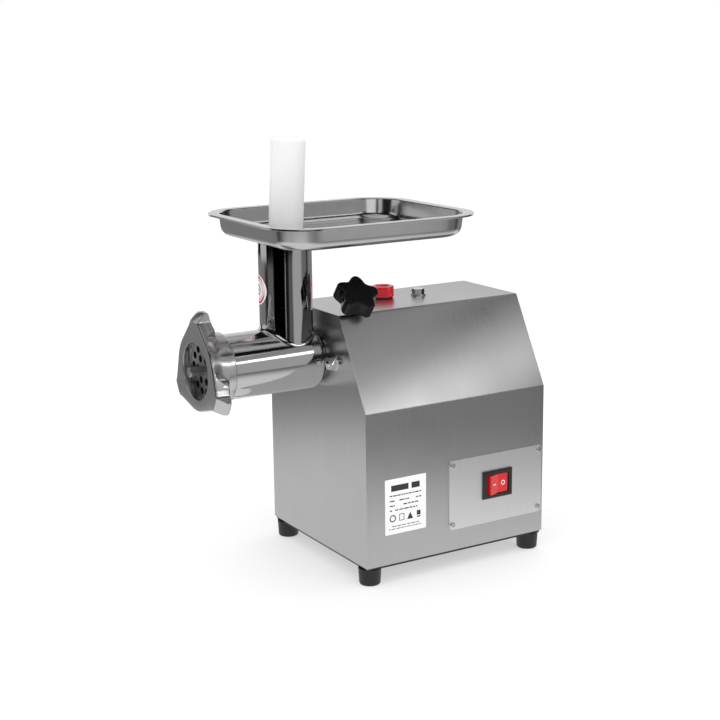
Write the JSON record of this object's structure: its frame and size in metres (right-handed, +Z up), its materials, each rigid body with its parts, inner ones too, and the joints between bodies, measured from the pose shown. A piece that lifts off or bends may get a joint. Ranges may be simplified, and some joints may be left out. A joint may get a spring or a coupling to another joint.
{
  "type": "electric meat grinder",
  "caption": "Countertop meat grinder: stainless housing with gear motor and rocker switch, clamped grinding head with feed tray, plunger, worm, knife, plate and ring nut.",
  "frame": {"origin": "on the table under the middle of the machine's footprint (middle of the bounding box in X and Y)", "axes": "+Z up, -Y the way the meat comes out, +X the side with the switch"},
  "size_m": [0.2303, 0.417, 0.4969],
  "materials": {
    "base_paint": "black painted steel sheet",
    "bearing_steel": "ground bearing steel",
    "black_plastic": "black moulded plastic",
    "capacitor_case": "black plastic case",
    "cast_aluminium": "die-cast aluminium",
    "control_plate_metal": "brushed aluminium",
    "copper_windings": "enamelled copper wire",
    "fan_plastic": "dark grey moulded plastic",
    "fastener_steel": "zinc plated steel",
    "foot_rubber": "moulded black rubber",
    "knob_plastic": "glossy black phenolic plastic",
    "laminations": "varnished steel laminations",
    "machined_steel": "machined and hardened steel",
    "plate_steel": "ground steel",
    "polished_stainless": "polished stainless steel",
    "red_cap_plastic": "glossy red plastic",
    "red_rocker_plastic": "glossy translucent red plastic",
    "round_label": "white vinyl label with a red ring",
    "seal_rubber": "black nitrile rubber",
    "stainless_sheet": "brushed stainless steel sheet, fine vertical grain",
    "terminal_brass": "plain brass",
    "white_label": "white vinyl label",
    "white_plunger": "white polyethylene, slightly matt",
    "wire_insulation": "PVC insulation",
    "worm_cast": "cast steel, ground on its journal"
  },
  "bodies": {
    "chassis": {"housing_wrap": "stainless_sheet", "front_panel": "stainless_sheet", "rear_panel": "stainless_sheet", "panel_screws": "fastener_steel", "base_plate": "base_paint", "rubber_foot_1": "foot_rubber", "rubber_foot_2": "foot_rubber", "rubber_foot_3": "foot_rubber", "rubber_foot_4": "foot_rubber", "foot_screws": "fastener_steel", "control_plate": "control_plate_metal", "switch_housing": "black_plastic", "switch_terminals": "terminal_brass", "rating_label": "white_label", "cable_gland": "black_plastic", "gearbox_case": "cast_aluminium", "gearbox_cover": "cast_aluminium", "gearbox_screws": "fastener_steel", "bearing_carrier": "cast_aluminium", "flange_bolts": "fastener_steel", "output_bearing_front": "bearing_steel", "output_bearing_rear": "bearing_steel", "output_oil_seal": "seal_rubber", "layshaft_bearings": "bearing_steel", "motor_stator": "laminations", "motor_windings": "copper_windings", "motor_front_bell": "cast_aluminium", "motor_rear_bell": "cast_aluminium", "motor_tie_bolts": "fastener_steel", "motor_bearings": "bearing_steel", "motor_oil_seal": "seal_rubber", "motor_support": "fastener_steel", "start_capacitor": "capacitor_case", "capacitor_clip": "fastener_steel", "wiring": "wire_insulation", "top_bracket": "fastener_steel", "top_bolt_and_washer": "fastener_steel"},
    "head": {"head_casting": "polished_stainless", "plate_pin": "machined_steel", "tube_sticker": "round_label"},
    "tray": {"feed_tray": "polished_stainless"},
    "plunger": {"plunger": "white_plunger"},
    "worm": {"worm": "worm_cast", "worm_washer": "white_plunger", "knife": "plate_steel"},
    "plate": {"mincing_plate": "plate_steel"},
    "ring_nut": {"ring_nut": "polished_stainless"},
    "clamp_pad": {"clamp_pad": "terminal_brass"},
    "clamp_knob": {"clamp_knob": "knob_plastic", "clamp_screw": "fastener_steel"},
    "plug_seal": {"oil_plug_seal": "seal_rubber"},
    "oil_plug": {"oil_plug": "red_cap_plastic"},
    "rocker": {"switch_rocker": "red_rocker_plastic"},
    "output_shaft": {"output_shaft": "machined_steel", "output_gear": "machined_steel"},
    "layshaft": {"layshaft": "machined_steel", "layshaft_gear": "machined_steel"},
    "rotor": {"rotor_core": "laminations", "motor_shaft": "machined_steel", "cooling_fan": "fan_plastic"}
  },
  "joints": [
    {"name": "head_slide", "type": "slide", "parent": "chassis", "child": "head", "axis": [0, -1, 0], "range_m": [0, 0.12]},
    {"name": "tray_lift", "type": "slide", "parent": "head", "child": "tray", "axis": [0, 0, 1], "range_m": [0, 0.04]},
    {"name": "plunger_slide", "type": "slide", "parent": "head", "child": "plunger", "axis": [0, 0.0567, 0.9984], "range_m": [0, 0.23]},
    {"name": "worm_spin", "type": "hinge", "parent": "head", "child": "worm", "pos_m": [0, 0, 0.2475], "axis": [0, 1, 0], "continuous": true},
    {"name": "plate_slide", "type": "slide", "parent": "head", "child": "plate", "axis": [0, -1, 0], "range_m": [0, 0.02]},
    {"name": "nut_turn", "type": "hinge", "parent": "plate", "child": "ring_nut", "pos_m": [0, -0.185, 0.2475], "axis": [0, -1, 0], "range_deg": [0, 1800]},
    {"name": "clamp_travel", "type": "slide", "parent": "chassis", "child": "clamp_pad", "axis": [0.6157, 0, 0.788], "range_m": [0, 0.0105]},
    {"name": "clamp_turn", "type": "hinge", "parent": "clamp_pad", "child": "clamp_knob", "pos_m": [0, -0.029, 0.2475], "axis": [0.6157, 0, 0.788], "range_deg": [0, 2160]},
    {"name": "plug_lift", "type": "slide", "parent": "chassis", "child": "plug_seal", "axis": [0, 0, 1], "range_m": [0, 0.008]},
    {"name": "plug_turn", "type": "hinge", "parent": "plug_seal", "child": "oil_plug", "pos_m": [-0.012, 0.048, 0.3015], "axis": [0, 0, 1], "range_deg": [0, 1440]},
    {"name": "rocker_tilt", "type": "hinge", "parent": "chassis", "child": "rocker", "pos_m": [0.108, 0.1255, 0.093], "axis": [0, 0, -1], "range_deg": [0, 20]},
    {"name": "output_spin", "type": "hinge", "parent": "chassis", "child": "output_shaft", "pos_m": [0, 0, 0.2475], "axis": [0, 1, 0], "continuous": true},
    {"name": "layshaft_spin", "type": "hinge", "parent": "chassis", "child": "layshaft", "pos_m": [0, 0, 0.1855], "axis": [0, 1, 0], "continuous": true},
    {"name": "rotor_spin", "type": "hinge", "parent": "chassis", "child": "rotor", "pos_m": [0, 0, 0.1255], "axis": [0, 1, 0], "continuous": true}
  ],
  "couplings": [
    {"joint": "worm_spin", "follows": "rotor_spin", "ratio": 0.13636},
    {"joint": "output_spin", "follows": "rotor_spin", "ratio": 0.13636},
    {"joint": "layshaft_spin", "follows": "rotor_spin", "ratio": -0.33333},
    {"joint": "plate_slide", "follows": "nut_turn", "m_per_rad": 0.0006366},
    {"joint": "clamp_travel", "follows": "clamp_turn", "m_per_rad": 0.00027852},
    {"joint": "plug_lift", "follows": "plug_turn", "m_per_rad": 0.0003183}
  ]
}
